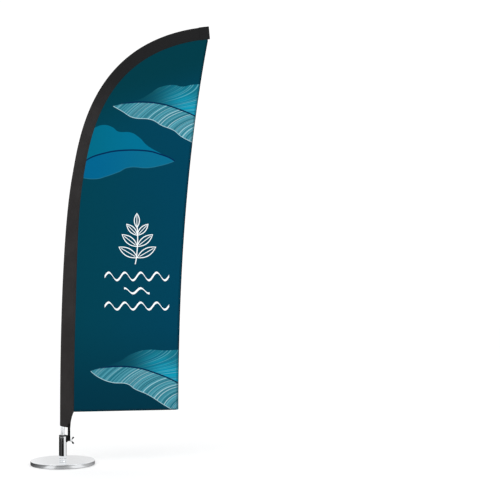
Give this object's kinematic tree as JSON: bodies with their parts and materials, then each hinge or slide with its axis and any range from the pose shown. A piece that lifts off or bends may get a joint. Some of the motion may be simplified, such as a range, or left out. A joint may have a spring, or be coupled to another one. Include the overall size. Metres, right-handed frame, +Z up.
{
  "type": "feather flag",
  "caption": "Tall curved banner on a bent pole that turns on ball bearings in a round weighted chrome base, with a wing screw and an elastic tension strap.",
  "frame": {"origin": "centre of the base's underside, on the floor under the pole", "axes": "+Z up along the pole's foot, +X from the pole towards the flag's free edge, +Y through the cloth, away from the viewer"},
  "size_m": [1.1194, 0.4, 2.7374],
  "materials": {
    "chrome": "polished",
    "cast_iron": "rough casting, painted",
    "steel": "ground and zinc plated",
    "rubber": "matt",
    "nylon": "moulded, satin",
    "aluminium": "anodised, bright",
    "fibreglass": "ground rod, satin",
    "sleeve_fabric": "heavy woven polyester",
    "printed_fabric": "knitted polyester, printed teal with lighter leaves",
    "webbing": "elastic webbing"
  },
  "bodies": {
    "base": {"floor_pad": "rubber", "ballast_slab": "cast_iron", "base_cover": "chrome", "base_bolt": "steel", "bolt_washer": "steel", "axle": "chrome", "dust_seal": "rubber", "lower_bearing_inner_ring": "steel", "inner_ring_spacer": "steel", "upper_bearing_inner_ring": "steel", "axle_nut": "steel"},
    "lower_cage": {"lower_ball_cage": "steel"},
    "upper_cage": {"upper_ball_cage": "steel"},
    "socket": {"socket_tube": "chrome", "lower_bearing_outer_ring": "steel", "upper_bearing_outer_ring": "steel", "outer_ring_spacer": "steel", "lower_circlip": "steel", "upper_circlip": "steel", "pole_socket": "nylon", "captive_nut": "steel"},
    "screw_seat": {"screw_washer": "steel"},
    "screw": {"wing_screw": "chrome"},
    "pole": {"pole_foot_plug": "nylon", "pole_section_1": "aluminium", "pole_section_2": "fibreglass", "pole_section_3": "fibreglass", "pole_section_4": "fibreglass", "joint_collar_1": "aluminium", "joint_collar_2": "aluminium", "joint_collar_3": "aluminium", "tip_cap": "rubber", "pole_sleeve": "sleeve_fabric", "tip_patch": "sleeve_fabric", "flag_panel": "printed_fabric", "foot_hem": "printed_fabric", "leech_hem": "printed_fabric", "tension_strap": "webbing"}
  },
  "joints": [
    {"name": "spindle_spin", "type": "hinge", "parent": "base", "child": "socket", "pos_m": [0, 0, 0.08], "axis": [0, 0, 1], "continuous": true},
    {"name": "lower_cage_spin", "type": "hinge", "parent": "base", "child": "lower_cage", "pos_m": [0, 0, 0.0526], "axis": [0, 0, 1], "continuous": true},
    {"name": "upper_cage_spin", "type": "hinge", "parent": "base", "child": "upper_cage", "pos_m": [0, 0, 0.0926], "axis": [0, 0, 1], "continuous": true},
    {"name": "pole_lift", "type": "slide", "parent": "socket", "child": "pole", "axis": [0, 0, 1], "range_m": [0, 0.045], "deforming": ["tension_strap"]},
    {"name": "screw_feed", "type": "slide", "parent": "socket", "child": "screw_seat", "axis": [1, 0, 0], "range_m": [0, 0.005]},
    {"name": "screw_turn", "type": "hinge", "parent": "screw_seat", "child": "screw", "pos_m": [0.053, 0, 0.151], "axis": [1, 0, 0], "range_deg": [0, 1440]}
  ],
  "couplings": [
    {"joint": "lower_cage_spin", "follows": "spindle_spin", "ratio": 0.61842},
    {"joint": "upper_cage_spin", "follows": "spindle_spin", "ratio": 0.61842},
    {"joint": "screw_feed", "follows": "screw_turn", "m_per_rad": 0.00019894}
  ]
}
